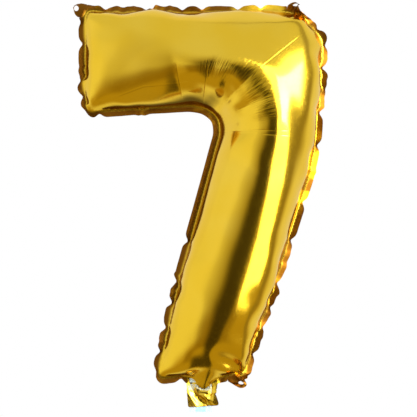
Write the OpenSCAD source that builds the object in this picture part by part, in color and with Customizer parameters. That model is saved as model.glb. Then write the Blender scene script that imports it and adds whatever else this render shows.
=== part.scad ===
// Foil number balloon, figure 7: two heat-sealed foil panels, three hanging tabs,
// an inflation tail and a self-sealing film valve.
//
// X runs to the right, Y to the back and Z up. The origin is the centre of the left
// hanging hole. The seam plane between the two panels is Y = 0.

/* [Figure] */
// Width of the inflated figure between its outermost seams
figure_w = 204; // [175:1:250]
// Height of the inflated figure, top seam to foot seam
figure_h = 313; // [262:1:380]
// Width of the inflated tube that draws the figure
stroke_w = 79; // [64:1:96]
// Depth of the inflated tube, front to back
stroke_d = 80; // [56:1:96]
// Lean of the leg from the vertical, in degrees
leg_lean = 16.2; // [10:0.1:20]
// Radius of the seam in the inside corner
inner_r = 24; // [16:1:32]
// How far the short right side stands out past the bend of the tube
side_bulge = 2.3; // [0:0.1:6]
// Lean of the short right side from the vertical, in degrees
side_lean = 4; // [0:0.5:8]
// How much the slanting seam takes off the square outer corner
corner_cut = 16.5; // [8:0.5:24]
// Direction that the slanting seam faces, in degrees above the horizontal
corner_turn = 40; // [36:1:50]
// Extra width of the bar at its closed end
bar_flare = 6; // [0:0.5:10]
// How much each side of the leg draws in towards the foot
leg_taper = 4.5; // [0:0.5:6]
// Length over which a closed end rounds off to its seam
end_round = 38; // [28:1:46]

/* [Foil] */
// Thickness of one foil ply
foil_t = 0.15; // [0.1:0.05:0.3]
// Width of the heat-sealed margin outside the seam
margin_w = 5.5; // [4:0.5:8]
// Clear gap left at a fold line when the fold is turned square
fold_clear = 0.3; // [0.3:0.05:0.5]

/* [Hanging tabs] */
// Radius of a punched hanging hole
hole_r = 2.25; // [1.5:0.25:3]
// Foil left round a hanging hole
tab_wall = 2.2; // [1.5:0.1:4]
// Width of a tab where it joins the margin
tab_root_w = 10.5; // [9:0.5:13]
// How far the left tab's hole lies off the line through the middle of its root
left_tab_skew = 3; // [0:0.5:4]
// Distance of the right tab's root from the start of the slanting seam
right_tab_gap = 0; // [0:0.5:10]
// Distance of the foot tab's root from the right end of the foot seam
foot_tab_gap = 0; // [0:0.5:6]

/* [Tail] */
// Width of the inflation tail
tail_w = 29; // [24:0.5:34]
// Length of the inflation tail below the margin
tail_l = 21; // [17:0.5:40]
// Distance of the tail to the right of the middle of the foot
tail_shift = 1; // [-5:0.5:5]
// Width of the weld along each edge of the tail
tail_weld = 3; // [2:0.25:3.5]

/* [Valve] */
// Thickness of one valve film
film_t = 0.1; // [0.05:0.05:0.15]
// Width of the valve films
film_w = 19; // [15:0.5:19]
// Gap between the two valve films
channel_gap = 0.35; // [0.35:0.05:0.5]
// Length of the valve above the foot seam
valve_l = 62; // [50:1:80]
// How far the valve films stand out of the tail
film_out = 3; // [1:0.1:4]
// Width of the printed release strip that keeps the channel open
print_w = 8.5; // [6:0.5:12]
// Thickness of the release print
print_t = 0.05; // [0.03:0.01:0.08]
// Length of front film above the foot seam that is welded to the foil
film_weld_l = 2; // [1:0.5:4]
// Clear gap between the release print's edge and the end of the rear film
print_end = 1; // [0.5:0.5:3]

/* [Hidden] */
$fn = 48;

gold = [0.86, 0.68, 0.16];
gold_rear = [0.80, 0.62, 0.14];
clear_film = [0.85, 0.93, 0.96];
pale_blue = [0.50, 0.78, 0.87];

// Steps of the panels' mesh
side_step = 9;    // degrees across a tube
end_step = 15;    // degrees round a closed end
corner_step = 8;  // degrees round the corner
bar_steps = 4;
leg_steps = 7;

// Half thickness of the films and the gap between them, which holds the plies apart
throat = channel_gap / 2 + film_t;
// Gap at a fold line, in which the thicker of the folded stacks turns square
fold_gap = 2 * (throat + foil_t + fold_clear);
// Length over which the margin closes up beside the tail
throat_fade = 12;
// Distance of a hanging hole from its tab's fold line, past the tab's round end
tab_reach = hole_r + tab_wall + 0.4;

// The top left corner of the seam, which the left tab holds away from the origin
corner_to_root = margin_w / sqrt(2) + fold_gap;
corner = (corner_to_root + tab_reach) * heading(-45) + left_tab_skew * heading(45);
left_x = corner[0];
top_z = corner[1];
right_x = left_x + figure_w;
foot_z = top_z - figure_h;

// The lines of the outer seam round the inside corner's centre, each as
// [direction that it faces, distance from the centre]
outer_d = stroke_w + inner_r;
top_line = [90, outer_d];
side_line = [-side_lean, outer_d + side_bulge];
square_corner = crossing(top_line, side_line);
cut_line = [corner_turn, square_corner * heading(corner_turn) - corner_cut];
outer_lines = [top_line, cut_line, side_line, [-leg_lean, outer_d]];
bend = [right_x - crossing(cut_line, side_line)[0], top_z - outer_d];

// Ends of the foot seam
leg_side = heading(-leg_lean);
leg_down = heading(-leg_lean - 90);
foot_outer = leg_point(outer_d - leg_taper, leg_length(outer_d - leg_taper));
foot_inner = leg_point(inner_r + leg_taper, leg_length(inner_r + leg_taper));
tail_x = (foot_outer[0] + foot_inner[0]) / 2 + tail_shift;
tail_top = foot_z - margin_w - fold_gap;
tail_end = tail_top - tail_l;

// Where the slanting seam starts on the top seam
cut_x = bend[0] + crossing(top_line, cut_line)[0];

function heading(angle) = [cos(angle), sin(angle)];

// Where two lines of the outer seam cross, from the bend's centre
function crossing(a, b) =
    [a[1] * sin(b[0]) - b[1] * sin(a[0]), b[1] * cos(a[0]) - a[1] * cos(b[0])]
    / sin(b[0] - a[0]);

// Distance from the bend's centre to the outer seam, moved out by grow, in a direction
function outer_reach(angle, grow) = min([
    for (line = outer_lines)
        if (cos(angle - line[0]) > 0.2) (line[1] + grow) / cos(angle - line[0])
]);

// A point of the leg, by its distance across from the bend and down the leg
function leg_point(across, down) = bend + across * leg_side + down * leg_down;

// Length down the leg to the foot seam, at a distance across from the bend
function leg_length(across) = (bend[1] + across * leg_side[1] - foot_z) / -leg_down[1];

// A ring across the tube: [outer margin, outer seam, inner seam, inner margin, depth share]
function bar_ring(x, share, beyond = 0) =
    let (open = (bend[0] - x) / (bend[0] - left_x),
         low = bend[1] + inner_r - bar_flare * pow(max(0, open), 1.5))
    [[x - beyond, top_z + margin_w], [x - beyond, top_z],
     [x - beyond, low], [x - beyond, low - margin_w], share];

function corner_ring(angle) = [
    bend + outer_reach(angle, margin_w) * heading(angle),
    bend + outer_reach(angle, 0) * heading(angle),
    bend + inner_r * heading(angle),
    bend + (inner_r - margin_w) * heading(angle),
    1
];

function leg_ring(down_share, share, beyond = 0) =
    let (taper = leg_taper * down_share,
         drop = [0, -beyond])
    [for (across = [outer_d - taper + margin_w, outer_d - taper,
                    inner_r + taper, inner_r + taper - margin_w])
        leg_point(across, leg_length(across) * down_share) + drop,
     share];

// The end rings are closer together towards their seam, as on an ellipse
function end_distance(angle, inset) = inset + (end_round - inset) * (1 - cos(angle));

function bar_rings(inset) = concat(
    [for (a = [0 : end_step : 89]) bar_ring(left_x + end_distance(a, inset), sin(a))],
    [for (i = [0 : bar_steps - 1])
        bar_ring(left_x + end_round + (bend[0] - left_x - end_round) * i / bar_steps, 1)]
);

function corner_rings() =
    let (steps = round((90 + leg_lean) / corner_step))
    [for (i = [0 : steps]) corner_ring(90 - (90 + leg_lean) * i / steps)];

function leg_rings(inset) =
    let (length = leg_length(outer_d), straight = 1 - end_round / length)
    concat(
        [for (i = [1 : leg_steps]) leg_ring(straight * i / leg_steps, 1)],
        [for (a = [90 - end_step : -end_step : 0])
            leg_ring(1 - end_distance(a, inset) / length, sin(a))]
    );

// All rings, with one more at each end for the margin beyond the end seam
function rings(inset) = concat(
    [bar_ring(left_x, 0, margin_w)],
    bar_rings(inset), corner_rings(), leg_rings(inset),
    [leg_ring(1, 0, margin_w)]
);

// How far the plies stand off the seam plane to let the valve through, at a point
function throat_at(point) =
    point[1] > foot_z + end_round ? 0 :
    throat * min(1, max(0, (tail_w / 2 + 2 * throat_fade - abs(point[0] - tail_x)) / throat_fade));

// The points across one ring of a skin, from the outer margin to the inner margin
function skin_row(ring, inset, first, last) =
    let (middle = (ring[1] + ring[2]) / 2,
         half = norm(ring[1] - ring[2]) / 2,
         across = (ring[1] - ring[2]) / (2 * half),
         ply = foil_t - inset,
         flat = [for (a = [90 : -side_step : -90])
                    [middle + across * (half - inset) * sin(a), stroke_d / 2 * ring[4] * cos(a)]])
    [for (p = concat([[ring[0], 0]], flat, [[ring[3], 0]]))
        [p[0][0], -(ply + max(p[1], throat_at(p[0]))), p[0][1]]];

// The margin's four corners are cut off between the ends of the seam's two margins
function cut_corners(rows) =
    let (last = len(rows) - 1, end = len(rows[0]) - 1)
    [for (i = [0 : last]) [for (j = [0 : end])
        (i == 0 || i == last) && (j == 0 || j == end)
            ? (rows[i][j == 0 ? 1 : end - 1] + rows[i == 0 ? 1 : last - 1][j]) / 2
            : rows[i][j]]];

function skin(inset) = cut_corners([for (ring = rings(inset)) skin_row(ring, inset)]);

function flatten(rows) = [for (row = rows) for (point = row) point];

// Two triangles for a cell of the grid, with the diagonal turned to the nearest corner
function cell(a, b, c, d, turned) =
    turned ? [[a, b, d], [b, c, d]] : [[a, b, c], [a, c, d]];

// One foil panel: an outer and an inner skin, closed round the margin's edge
module panel_solid() {
    outer = skin(0);
    inner = skin(foil_t);
    m = len(outer);
    n = len(outer[0]);
    far = m * n;
    edge = concat(
        [for (j = [0 : n - 2]) j], [for (i = [0 : m - 2]) i * n + n - 1],
        [for (j = [n - 1 : -1 : 1]) (m - 1) * n + j], [for (i = [m - 1 : -1 : 1]) i * n]
    );
    skins = [for (i = [0 : m - 2]) for (j = [0 : n - 2])
        let (a = i * n + j, turned = (i < m / 2) != (j < n / 2))
        for (t = cell(a, a + n, a + n + 1, a + 1, turned)) t];
    rim = [for (k = [0 : len(edge) - 1])
        let (p = edge[k], q = edge[(k + 1) % len(edge)])
        for (t = [[p, q, q + far], [p, q + far, p + far]]) t];
    polyhedron(
        points = concat(flatten(outer), flatten(inner)),
        faces = concat(
            skins,
            [for (t = skins) [t[2] + far, t[1] + far, t[0] + far]],
            rim
        )
    );
}

// A strip of film or print that stands in the seam plane behind the tail's middle
module strip(width, low, high, y, thickness) {
    translate([tail_x - width / 2, y, low]) cube([width, thickness, high - low]);
}

// One ply of the tail, which stands off the seam plane over the films
module tail_ply() {
    weld_x = tail_w / 2 - tail_weld;
    rise_x = weld_x - 1;
    translate([tail_x, 0, tail_end])
        linear_extrude(tail_l)
            polygon([
                [-tail_w / 2, 0], [-weld_x, 0], [-rise_x, -throat],
                [rise_x, -throat], [weld_x, 0], [tail_w / 2, 0],
                [tail_w / 2, -foil_t], [weld_x, -foil_t], [rise_x, -throat - foil_t],
                [-rise_x, -throat - foil_t], [-weld_x, -foil_t], [-tail_w / 2, -foil_t]
            ]);
}

// A hanging tab of both plies welded together, from its fold line at the local origin.
// It points in a direction, in degrees from +X towards +Z, and its hole lies skew to the
// right of the root's middle, seen along that direction.
module hang_tab(root, direction, skew = 0) {
    eye_r = hole_r + tab_wall;
    translate([root[0], 0, root[1]])
        rotate([0, 90 - direction, 0])
            rotate([90, 0, 0])
                difference() {
                    linear_extrude(2 * foil_t, center = true) union() {
                        translate([skew, tab_reach]) circle(r = eye_r);
                        polygon([[-tab_root_w / 2, 0], [tab_root_w / 2, 0],
                                 [skew + eye_r, tab_reach], [skew - eye_r, tab_reach]]);
                    }
                    translate([skew, tab_reach, -2 * foil_t])
                        cylinder(r = hole_r, h = 4 * foil_t);
                }
}

module front_panel() {
    color(gold) panel_solid();
}

module rear_panel() {
    color(gold_rear) mirror([0, 1, 0]) panel_solid();
}

module valve_film_front() {
    color(clear_film)
        strip(film_w, foot_z - margin_w, foot_z + film_weld_l, -throat, film_t);
}

module valve_film_rear() {
    color(clear_film)
        strip(film_w, foot_z - margin_w, foot_z + valve_l, channel_gap / 2, film_t);
}

module release_print() {
    color(pale_blue)
        strip(print_w, foot_z - margin_w, foot_z + valve_l - print_end,
              channel_gap / 2 - print_t, print_t);
}

module valve_flap() {
    color(clear_film)
        strip(film_w, foot_z + film_weld_l + fold_clear, foot_z + valve_l, -throat, film_t);
}

module tail_front() {
    color(gold) tail_ply();
}

module tail_rear() {
    color(gold_rear) mirror([0, 1, 0]) tail_ply();
}

module tail_film_front() {
    color(clear_film) strip(film_w, tail_end - film_out, tail_top, -throat, film_t);
}

module tail_film_rear() {
    color(clear_film) strip(film_w, tail_end - film_out, tail_top, channel_gap / 2, film_t);
}

module tail_print() {
    color(pale_blue)
        strip(print_w, tail_end - film_out, tail_top, channel_gap / 2 - print_t, print_t);
}

module hang_tab_left() {
    color(gold) hang_tab(corner + corner_to_root * heading(135), 135, -left_tab_skew);
}

module hang_tab_right() {
    color(gold)
        hang_tab([cut_x - right_tab_gap - tab_root_w / 2, top_z + margin_w + fold_gap], 90);
}

module hang_tab_foot() {
    color(gold)
        hang_tab([foot_outer[0] - foot_tab_gap - tab_root_w / 2,
                  foot_z - margin_w - fold_gap], -90);
}

front_panel();
rear_panel();
valve_film_front();
valve_film_rear();
release_print();
valve_flap();
tail_front();
tail_rear();
tail_film_front();
tail_film_rear();
tail_print();
hang_tab_left();
hang_tab_right();
hang_tab_foot();
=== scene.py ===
"""Looks of an inflated gold foil balloon in the shape of a figure seven.

The foil is cut, welded and blown up here as the real one is: two flat panels are welded along a
seam, and gas pressure draws the seam in until the film is round, which crumples the weld.
"""

import logging
import math
from dataclasses import dataclass, field
from enum import IntEnum

import bpy
import numpy as np
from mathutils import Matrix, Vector
from mathutils.geometry import convex_hull_2d, delaunay_2d_cdt


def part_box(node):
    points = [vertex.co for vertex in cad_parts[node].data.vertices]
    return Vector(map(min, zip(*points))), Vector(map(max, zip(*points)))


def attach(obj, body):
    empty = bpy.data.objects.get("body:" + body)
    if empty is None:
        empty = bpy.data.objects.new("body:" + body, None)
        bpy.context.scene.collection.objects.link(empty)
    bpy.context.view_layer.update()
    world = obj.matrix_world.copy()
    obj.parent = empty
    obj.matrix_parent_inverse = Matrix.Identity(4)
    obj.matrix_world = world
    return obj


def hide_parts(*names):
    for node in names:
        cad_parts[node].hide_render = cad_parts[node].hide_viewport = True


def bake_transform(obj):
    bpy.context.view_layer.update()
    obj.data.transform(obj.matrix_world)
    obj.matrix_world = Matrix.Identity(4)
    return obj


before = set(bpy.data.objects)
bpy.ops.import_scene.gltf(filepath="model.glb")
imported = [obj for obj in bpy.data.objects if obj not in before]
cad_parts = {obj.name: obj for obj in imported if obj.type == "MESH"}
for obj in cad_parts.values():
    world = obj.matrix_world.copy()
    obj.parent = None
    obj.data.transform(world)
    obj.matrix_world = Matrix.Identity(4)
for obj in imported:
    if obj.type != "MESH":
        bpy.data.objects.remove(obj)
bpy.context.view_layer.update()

MM = 0.001
UNEVENNESS = 0.05  # of a lattice, as a share of its pitch
LATTICE_CLEARANCE = 0.62  # of a lattice from the loop that it fills, as a share of its pitch
SEAM_SPACING = 0.95  # of the seam's points, as a share of the pitch

log = logging.getLogger("balloon")

Colour = tuple[float, float, float]
Place = tuple[float, float]


# ---------------------------------------------------------------------------------------------
# Plane geometry of the flat cut. A loop is an array of (x, z) points, in metres.
# ---------------------------------------------------------------------------------------------


def heading(angle: float) -> np.ndarray:
    """Return the unit vector at an angle in radians from +X."""
    return np.array([math.cos(angle), math.sin(angle)])


def offset(loop: np.ndarray, distance: float) -> np.ndarray:
    """Move a closed loop outwards.

    Args:
        loop: Points of a closed loop, either way round.
        distance: How far out, in metres.

    Returns:
        The moved loop, point for point.
    """
    after, before = np.roll(loop, -1, 0), np.roll(loop, 1, 0)
    along = after - before
    along /= np.linalg.norm(along, axis=1)[:, None]
    normal = np.stack([along[:, 1], -along[:, 0]], 1)
    area = np.sum(loop[:, 0] * after[:, 1] - after[:, 0] * loop[:, 1])
    return loop + distance * (normal if area > 0 else -normal)


def inside(loop: np.ndarray, points: np.ndarray) -> np.ndarray:
    """Tell which points lie inside a closed loop.

    Args:
        loop: The closed loop.
        points: The points to test.

    Returns:
        One truth value for each point.
    """
    x, z = points[:, 0][:, None], points[:, 1][:, None]
    x0, z0 = loop[:, 0][None], loop[:, 1][None]
    x1, z1 = np.roll(loop[:, 0], -1)[None], np.roll(loop[:, 1], -1)[None]
    level = np.where(z1 == z0, 1e-18, z1 - z0)
    crossed = ((z0 > z) != (z1 > z)) & (x < (x1 - x0) * (z - z0) / level + x0)
    return crossed.sum(1) % 2 == 1


def distance_to(loop: np.ndarray, points: np.ndarray) -> np.ndarray:
    """Measure how far points are from a closed loop.

    Args:
        loop: The closed loop.
        points: The points to measure from.

    Returns:
        The distance of each point to the nearest place on the loop.
    """
    best = np.full(len(points), 1e9)
    for start, end in zip(loop, np.roll(loop, -1, 0)):
        run = end - start
        share = np.clip(((points - start) @ run) / max(run @ run, 1e-18), 0, 1)
        best = np.minimum(best, np.linalg.norm(points - (start + share[:, None] * run), axis=1))
    return best


def lattice(loop: np.ndarray, pitch: float, jitter: np.random.Generator) -> np.ndarray:
    """Fill a closed loop with points on a slightly uneven triangular lattice.

    Args:
        loop: The closed loop to fill.
        pitch: Spacing of the points.
        jitter: Source of the unevenness.

    Returns:
        The points inside the loop and clear of it.
    """
    low, high = loop.min(0) - pitch, loop.max(0) + pitch
    row_height = pitch * math.sqrt(3) / 2
    rows = int((high[1] - low[1]) / row_height) + 1
    columns = int((high[0] - low[0]) / pitch) + 1
    row, column = np.mgrid[0:rows, 0:columns]
    x = low[0] + (column + 0.5 * (row % 2)) * pitch
    points = np.stack([x.ravel(), (low[1] + row * row_height).ravel()], 1)
    points += jitter.normal(0, UNEVENNESS * pitch, points.shape)
    points = points[inside(loop, points)]
    return points[distance_to(loop, points) > LATTICE_CLEARANCE * pitch]


def resampled(loop: np.ndarray, step: float) -> tuple[np.ndarray, np.ndarray]:
    """Space points evenly along a closed loop.

    Args:
        loop: The closed loop.
        step: The wanted spacing.

    Returns:
        The new loop, and each new point's place in the old one as a fractional index.
    """
    closed = np.vstack([loop, loop[:1]])
    run = np.concatenate([[0], np.cumsum(np.linalg.norm(np.diff(closed, axis=0), axis=1))])
    count = int(round(run[-1] / step))
    index = np.interp(np.arange(count) * run[-1] / count, run, np.arange(len(run)))
    return at_index(loop, index), index


def at_index(loop: np.ndarray, index: np.ndarray) -> np.ndarray:
    """Return the points of a closed loop at fractional indices."""
    closed = np.vstack([loop, loop[:1]])
    steps = np.arange(len(closed))
    return np.stack([np.interp(index, steps, closed[:, axis]) for axis in (0, 1)], 1)


def softened(loop: np.ndarray, times: int) -> np.ndarray:
    """Round the corners of an evenly sampled closed loop by averaging neighbours."""
    for _ in range(times):
        loop = 0.25 * np.roll(loop, 1, 0) + 0.5 * loop + 0.25 * np.roll(loop, -1, 0)
    return loop


# ---------------------------------------------------------------------------------------------
# The cut: seam, weld margin, hanging tabs and inflation neck
# ---------------------------------------------------------------------------------------------


class Mark(IntEnum):
    """What a point of the flat cut belongs to."""

    SEAM = 0
    WELD = 1
    PUNCHED = 2
    NECK_END = 3
    DOME = 4


@dataclass(frozen=True)
class Station:
    """A place on the seam, in millimetres: where it is once inflated, and where it was cut."""

    x: float
    z: float
    cut_x: float
    cut_z: float


@dataclass(frozen=True)
class TabPlan:
    """One hanging tab.

    Attributes:
        name: The CAD body and the end of the piece's name.
        hole: Centre of its punched hole in the cut, in millimetres, measured inflated.
        root: Middle of its root on the weld, in millimetres, measured inflated.
        cut_shift: How far off the flat cut lies from the inflated place.
        rest_hole: Where the hole is on the inflated balloon, (x, y, z) in millimetres.
        curl: How far the tab leans to the reader, in degrees.
        root_width: Width where it joins the weld.
        radius: Radius of its rounded end.
        bend_from: Not used.
        bend_length: Not used.
        root_sunk: How far its outline reaches back into the weld.
        outline_step: Spacing of the outline's points.
    """

    name: str
    hole: Place
    root: Place
    cut_shift: Place
    rest_hole: tuple[float, float, float]
    curl: float
    root_width: float
    radius: float = 6.3
    bend_from: float = 0.5
    bend_length: float = 2.5
    root_sunk: float = 5.0
    outline_step: float = 1.3

    @property
    def direction(self) -> np.ndarray:
        """Unit vector from the root to the hole, in the plane of the cut."""
        run = np.array(self.hole) - np.array(self.root)
        return run / np.linalg.norm(run)

    def outline(self, hole_lead: float) -> np.ndarray:
        """Draw the flat tab.

        Args:
            hole_lead: How far the hole stands beyond the middle of the rounded end.

        Returns:
            The outline in metres, a rounded end tangent to a wider root.
        """
        hole, root = np.array(self.hole), np.array(self.root)
        across = np.array([-self.direction[1], self.direction[0]])
        middle = hole - hole_lead * self.direction
        end = [middle + self.radius * heading(math.radians(turn)) for turn in range(0, 360, 15)]
        sunk = root - self.root_sunk * self.direction
        points = end + [sunk + side * self.root_width / 2 * across for side in (-1, 1)]
        hull = convex_hull_2d([Vector(point) for point in points])
        loop = (np.array([points[i] for i in hull]) + np.array(self.cut_shift)) * MM
        return resampled(loop, self.outline_step * MM)[0]

    def punched(self, hole_radius: float, count: int) -> tuple[np.ndarray, np.ndarray]:
        """Return the punched hole's rim.

        Args:
            hole_radius: Radius in millimetres.
            count: Number of points.

        Returns:
            The rim in the flat cut, (x, z), and on the inflated balloon, (x, y, z), in metres.
        """
        turns = [2 * math.pi * step / count for step in range(count)]
        ring = np.array([hole_radius * heading(turn) for turn in turns])
        flat = (ring + np.array(self.hole) + np.array(self.cut_shift)) * MM
        along = ring @ self.direction
        lean = math.radians(self.curl)
        rest = np.zeros((count, 3))
        rest[:, [0, 2]] = ring + np.outer(along * (math.cos(lean) - 1), self.direction)
        rest[:, 1] = -along * math.sin(lean)
        return flat, (rest + np.array(self.rest_hole)) * MM


@dataclass
class Cut:
    """The flat cut of the figure, and where its welded seam goes once it is inflated.

    Attributes:
        margin: Width of the weld outside the seam.
        cad_margin: The same in the CAD part, where the seam's ends are.
        pitch: Spacing of the dome's points, and fine_pitch of the neck's and the tabs'.
        hole_lead: How far a punched hole stands beyond the middle of its tab's rounded end.
        neck_top: Top edge of the neck in the cut, inside the dome, and neck_end its open end.
        neck_rest_end: Height of the open end once inflated.
        neck_cut_x: Middle of the neck in the cut, and neck_x the same once inflated.
        neck_taper: How much narrower the open end is at the left and the right.
        neck_step: Spacing of the points along the neck's outline.
        station_step: Spacing of points along the seam before its corners are rounded.
        corner_rounding: How many times neighbours are averaged to round the corners.
        neck_tip: Which station is the seam's dip into the neck.
    """

    margin: float = 6.3 * MM
    cad_margin: float = 5.5 * MM
    pitch: float = 3.0 * MM
    hole_lead: float = 2.7
    hole_radius: float = 2.25
    neck_width: float = 29.0
    neck_top: float = -338.0
    neck_end: float = -374.0
    neck_rest_end: float = -344.6
    neck_cut_x: float = 119.5
    neck_x: float = 111.6
    neck_taper: Place = (0.5, 0.4)
    neck_step: float = 2.0 * MM
    fine_pitch: float = 1.9 * MM
    station_step: float = 2.5 * MM
    corner_rounding: int = 4
    seed: int = 7
    stations: tuple[Station, ...] = (
        Station(9.3, -5.1, 0.5, 22.0),
        Station(69.0, -5.1, 64.4, 21.5),
        Station(99.0, -5.1, 95.7, 13.6),
        Station(143.7, -5.1, 141.5, 5.5),
        Station(193.4, -5.1, 191.0, -10.0),
        Station(213.3, -29.0, 208.5, -35.0),
        Station(211.0, -69.0, 215.3, -78.0),
        Station(206.0, -118.6, 212.5, -130.0),
        Station(203.2, -138.4, 209.5, -151.0),
        Station(188.3, -185.6, 199.6, -199.5),
        Station(170.3, -242.6, 188.0, -259.0),
        Station(156.4, -285.4, 172.2, -304.0),
        Station(143.8, -318.1, 158.0, -340.5),
        Station(122.0, -318.1, 134.0, -346.0),
        Station(111.0, -326.0, 120.5, -361.0),
        Station(99.5, -318.1, 110.0, -347.5),
        Station(70.9, -318.1, 80.0, -348.0),
        Station(80.4, -276.5, 76.8, -303.0),
        Station(91.7, -233.0, 75.6, -255.0),
        Station(107.4, -174.9, 82.4, -195.0),
        Station(122.4, -121.2, 87.6, -139.0),
        Station(126.2, -108.1, 89.2, -126.0),
        Station(122.9, -95.8, 86.5, -113.5),
        Station(114.2, -87.3, 77.5, -105.0),
        Station(102.2, -84.1, 66.5, -99.5),
        Station(59.5, -86.8, 26.6, -86.8),
        Station(29.4, -88.8, -2.3, -73.6),
        Station(9.3, -90.1, -20.5, -66.0),
        Station(9.3, -65.0, -19.5, -39.5),
    )
    neck_tip: int = 14
    tabs: tuple[TabPlan, ...] = (
        TabPlan("tab_left", hole=(0.0, 0.0), root=(7.0, -3.0), cut_shift=(-7.5, 25.5),
                rest_hole=(0.3, -0.6, 0.0), curl=5.0, root_width=15.0),
        TabPlan("tab_right", hole=(188.2, 6.7), root=(188.2, 0.5), cut_shift=(-3.0, -4.5),
                rest_hole=(194.0, -5.0, 2.2), curl=58.0, root_width=25.0),
        TabPlan("tab_foot", hole=(138.5, -329.9), root=(138.5, -322.5), cut_shift=(14.5, -23.0),
                rest_hole=(145.6, -5.0, -324.0), curl=50.0, root_width=24.0, radius=9.2, bend_from=-3.5),
    )

    def __post_init__(self) -> None:
        """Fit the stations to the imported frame, and lay out every loop of the cut."""
        low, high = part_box("front_panel")
        seam = np.array([(s.x, s.z, s.cut_x, s.cut_z) for s in self.stations])
        seam *= (high.x - low.x - 2 * self.cad_margin) / np.ptp(seam[:, 0])
        seam[:, [0, 2]] += low.x + self.cad_margin - seam[:, 0].min()
        self.cut_seam, self.rest_seam = self._loops(seam)
        self.plain_seam = self._loops(np.delete(seam, self.neck_tip, 0))[0]
        self.random = np.random.default_rng(self.seed)
        half, (left, right) = self.neck_width / 2, self.neck_taper
        top = [(-half, self.neck_top), (half, self.neck_top)]
        corners = top + [(half - right, self.neck_end), (left - half, self.neck_end)]
        neck = np.array([(self.neck_cut_x + x, z) for x, z in corners]) * MM
        self.neck = resampled(neck, self.neck_step)[0]
        self.tab_loops = {tab.name: tab.outline(self.hole_lead) for tab in self.tabs}

    def _loops(self, stations: np.ndarray) -> tuple[np.ndarray, np.ndarray]:
        """Draw the seam through its stations, flat and inflated, point for point.

        Args:
            stations: One row for each station: inflated x and z, then cut x and z, in metres.

        Returns:
            The seam in the flat cut, and the same points once inflated.
        """
        rows = []
        for here, there in zip(stations, np.roll(stations, -1, 0)):
            steps = max(int(round(np.linalg.norm(there[:2] - here[:2]) / self.station_step)), 1)
            rows += [here + (there - here) * step / steps for step in range(steps)]
        dense = softened(np.array(rows), self.corner_rounding)
        flat, index = resampled(dense[:, 2:], SEAM_SPACING * self.pitch)
        return flat, at_index(dense[:, :2], index)


@dataclass
class Sketch:
    """Points and edges of the flat cut, gathered before it is meshed."""

    points: list[np.ndarray] = field(default_factory=list)
    marks: list[int] = field(default_factory=list)
    edges: list[tuple[int, int]] = field(default_factory=list)
    rest: list[tuple[float, float, float]] = field(default_factory=list)

    def add(self, points: np.ndarray, mark: Mark, rest: np.ndarray | None = None,
            keep: np.ndarray | None = None, closed: bool = False) -> None:
        """Add points, and the edges of a loop between those that are kept.

        Args:
            points: Points in the plane of the cut.
            mark: What they belong to.
            rest: Where they go once inflated, (x, y, z), or None where the film finds its own place.
            keep: Which of the points to keep, or None for all.
            closed: Whether the points are a loop whose edges the mesh must follow.
        """
        keep = np.ones(len(points), bool) if keep is None else keep
        places = {}
        for i in np.flatnonzero(keep):
            places[i] = len(self.points)
            self.points.append(points[i])
            self.marks.append(int(mark))
            self.rest.append(tuple(rest[i]) if rest is not None else (math.nan,) * 3)
        if closed:
            after = {i: (i + 1) % len(points) for i in places}
            self.edges += [(places[i], places[j]) for i, j in after.items() if j in places]


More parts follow.
